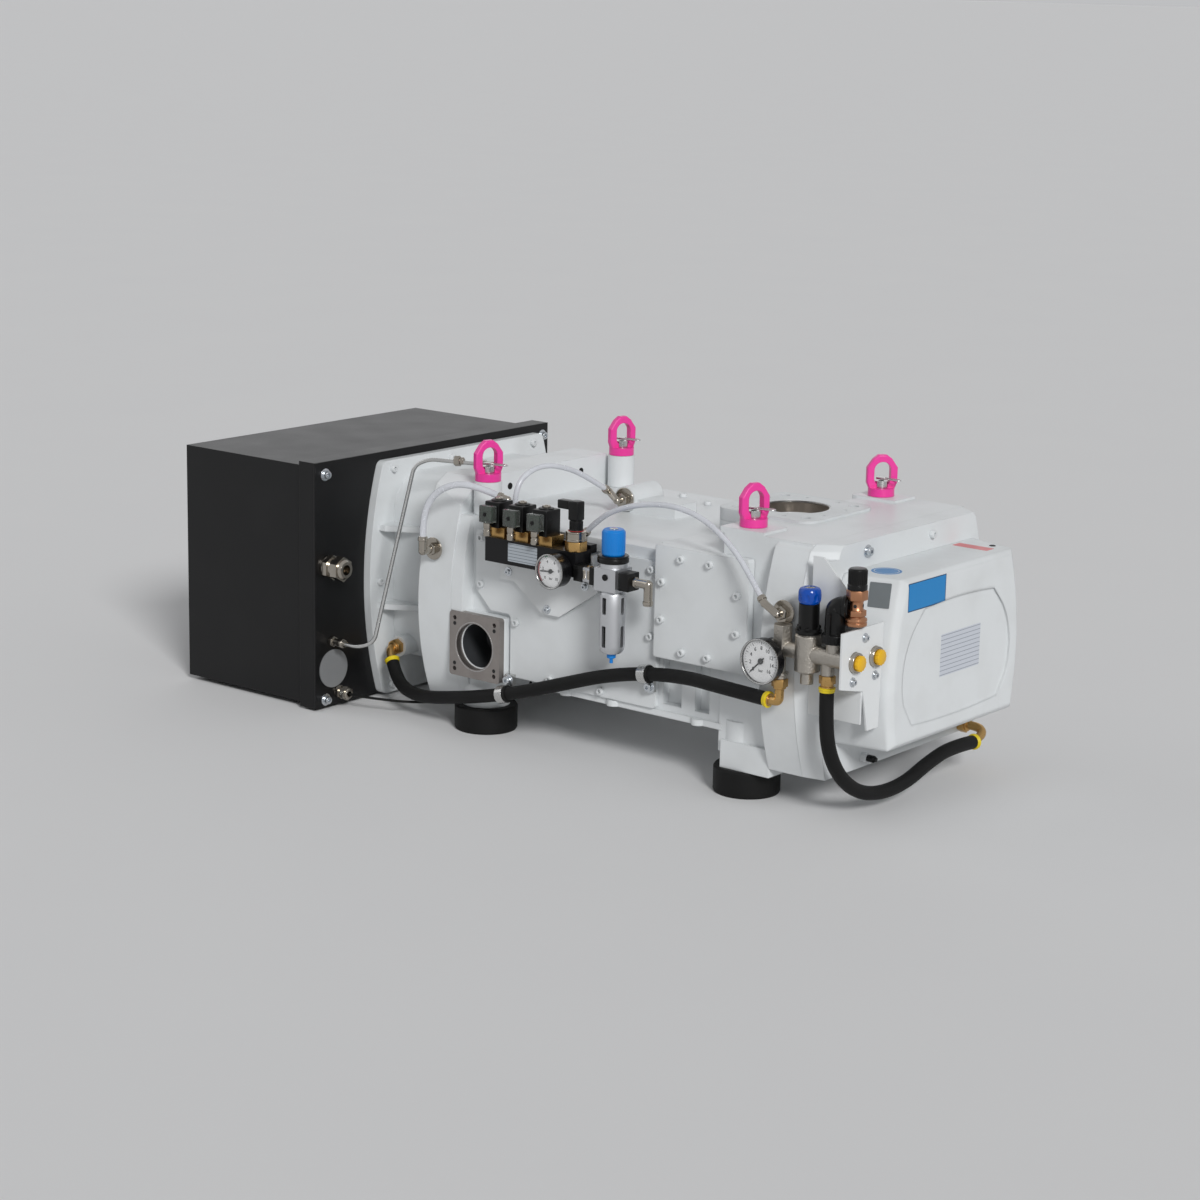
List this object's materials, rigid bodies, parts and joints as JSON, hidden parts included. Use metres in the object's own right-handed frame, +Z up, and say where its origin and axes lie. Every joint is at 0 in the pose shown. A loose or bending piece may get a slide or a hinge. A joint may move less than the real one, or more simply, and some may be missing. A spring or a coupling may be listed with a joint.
{
  "type": "dry screw vacuum pump",
  "caption": "Dry screw vacuum pump with inverter box, purge gas panel, cooling water valve, top inlet flange, side exhaust flange and lifting eyes.",
  "frame": {"origin": "centre of the bounding box's underside, on the floor under the rubber feet", "axes": "+X along the rotor axes from the inverter box to the gear cover, -Y towards the side with the purge panel and water valve, +Z up"},
  "size_m": [1.265, 0.5464, 0.441],
  "materials": {
    "box_black": "satin black paint",
    "body_paint": "satin grey-white paint",
    "machined_iron": "machined",
    "inlet_paint": "satin grey-white paint",
    "white_sheet": "painted sheet",
    "steel": "bright steel",
    "dull_disc": "matt grey",
    "nickel": "nickel plated",
    "cast_nickel": "sand cast, nickel plated",
    "brass": "turned brass",
    "bronze": "cast bronze",
    "rubber_black": "black rubber",
    "white_hose": "translucent white",
    "eye_pink": "powder coat, hot pink",
    "anodised_black": "black anodised",
    "black_plastic": "black plastic",
    "smoke_plastic": "smoky clear plastic",
    "gauge_case": "black case with white dial",
    "pointer_black": "matt black",
    "silver_cast": "die cast, silver",
    "knob_blue": "blue plastic",
    "knob_navy": "dark blue plastic",
    "plug_yellow": "yellow caps in plated sockets",
    "rotor_iron": "ground iron",
    "gear_steel": "ground steel",
    "motor_core": "laminated steel"
  },
  "bodies": {
    "pump": {"inverter_box": "box_black", "inverter_panel": "box_black", "motor_housing": "body_paint", "rotor_housing": "body_paint", "front_side_cover": "body_paint", "rear_side_cover": "body_paint", "service_plate": "body_paint", "end_plate": "body_paint", "end_cover": "body_paint", "housing_screws": "body_paint", "exhaust_flange": "machined_iron", "inlet_flange": "inlet_paint", "purge_bracket": "white_sheet", "water_bracket": "white_sheet", "inlet_strainer": "steel", "hose_clamps": "steel", "eye_screws": "steel", "sense_tube": "steel", "blanking_disc": "dull_disc", "cable_glands": "nickel", "nickel_fittings": "nickel", "water_manifold": "cast_nickel", "brass_fittings": "brass", "valve_bodies": "brass", "safety_valve": "bronze", "rubber_feet": "rubber_black", "cooling_hose_front": "rubber_black", "cooling_hose_rear": "rubber_black", "sensor_cable": "rubber_black", "purge_hose_1": "white_hose", "purge_hose_2": "white_hose", "purge_hose_3": "white_hose", "valve_manifold": "anodised_black", "solenoid_coils": "black_plastic", "pressure_switch": "black_plastic", "thermostat_neck": "black_plastic", "strainer_elbow": "black_plastic", "coil_plugs": "smoke_plastic", "purge_gauge": "gauge_case", "water_gauge": "gauge_case", "filter_body": "silver_cast", "filter_bowl": "silver_cast", "port_plugs": "plug_yellow", "shaft_bearings": "gear_steel", "motor_stator": "motor_core"},
    "drive_shaft": {"drive_rotor": "rotor_iron", "drive_gear": "gear_steel", "motor_rotor": "motor_core"},
    "driven_shaft": {"driven_rotor": "rotor_iron", "driven_gear": "gear_steel"},
    "eye_1": {"lifting_eye_1": "eye_pink"},
    "eye_2": {"lifting_eye_2": "eye_pink"},
    "eye_3": {"lifting_eye_3": "eye_pink"},
    "eye_4": {"lifting_eye_4": "eye_pink"},
    "regulator": {"regulator_knob": "knob_blue"},
    "drain": {"drain_knob": "knob_blue"},
    "thermostat": {"thermostat_knob": "knob_navy"},
    "test_cap": {"valve_cap": "black_plastic"},
    "purge_pointer": {"purge_needle": "pointer_black"},
    "water_pointer": {"water_needle": "pointer_black"}
  },
  "joints": [
    {"name": "drive_shaft_spin", "type": "hinge", "parent": "pump", "child": "drive_shaft", "pos_m": [0, 0.053, 0.207], "axis": [1, 0, 0], "continuous": true},
    {"name": "driven_shaft_spin", "type": "hinge", "parent": "pump", "child": "driven_shaft", "pos_m": [0, -0.053, 0.207], "axis": [1, 0, 0], "continuous": true},
    {"name": "eye_1_swivel", "type": "hinge", "parent": "pump", "child": "eye_1", "pos_m": [-0.095, -0.159, 0.4], "axis": [0, 0, 1], "continuous": true},
    {"name": "eye_2_swivel", "type": "hinge", "parent": "pump", "child": "eye_2", "pos_m": [-0.095, 0.159, 0.4], "axis": [0, 0, 1], "continuous": true},
    {"name": "eye_3_swivel", "type": "hinge", "parent": "pump", "child": "eye_3", "pos_m": [0.3918, -0.159, 0.4], "axis": [0, 0, 1], "continuous": true},
    {"name": "eye_4_swivel", "type": "hinge", "parent": "pump", "child": "eye_4", "pos_m": [0.3918, 0.159, 0.4], "axis": [0, 0, 1], "continuous": true},
    {"name": "regulator_turn", "type": "hinge", "parent": "pump", "child": "regulator", "pos_m": [0.207, -0.236, 0.342], "axis": [0, 0, 1], "range_deg": [-900, 900]},
    {"name": "drain_turn", "type": "hinge", "parent": "pump", "child": "drain", "pos_m": [0.207, -0.236, 0.174], "axis": [0, 0, 1], "range_deg": [0, 90]},
    {"name": "thermostat_turn", "type": "hinge", "parent": "pump", "child": "thermostat", "pos_m": [0.546, -0.241, 0.32], "axis": [0, 0, 1], "range_deg": [-135, 135]},
    {"name": "test_cap_turn", "type": "hinge", "parent": "pump", "child": "test_cap", "pos_m": [0.615, -0.232, 0.352], "axis": [0, 0, 1], "range_deg": [0, 90]},
    {"name": "purge_pointer_turn", "type": "hinge", "parent": "pump", "child": "purge_pointer", "pos_m": [0.115, -0.264, 0.29], "axis": [0, 1, 0], "range_deg": [-40, 230]},
    {"name": "water_pointer_turn", "type": "hinge", "parent": "pump", "child": "water_pointer", "pos_m": [0.488, -0.267, 0.224], "axis": [0, 1, 0], "range_deg": [0, 270]}
  ],
  "couplings": [
    {"joint": "driven_shaft_spin", "follows": "drive_shaft_spin", "ratio": -1}
  ]
}
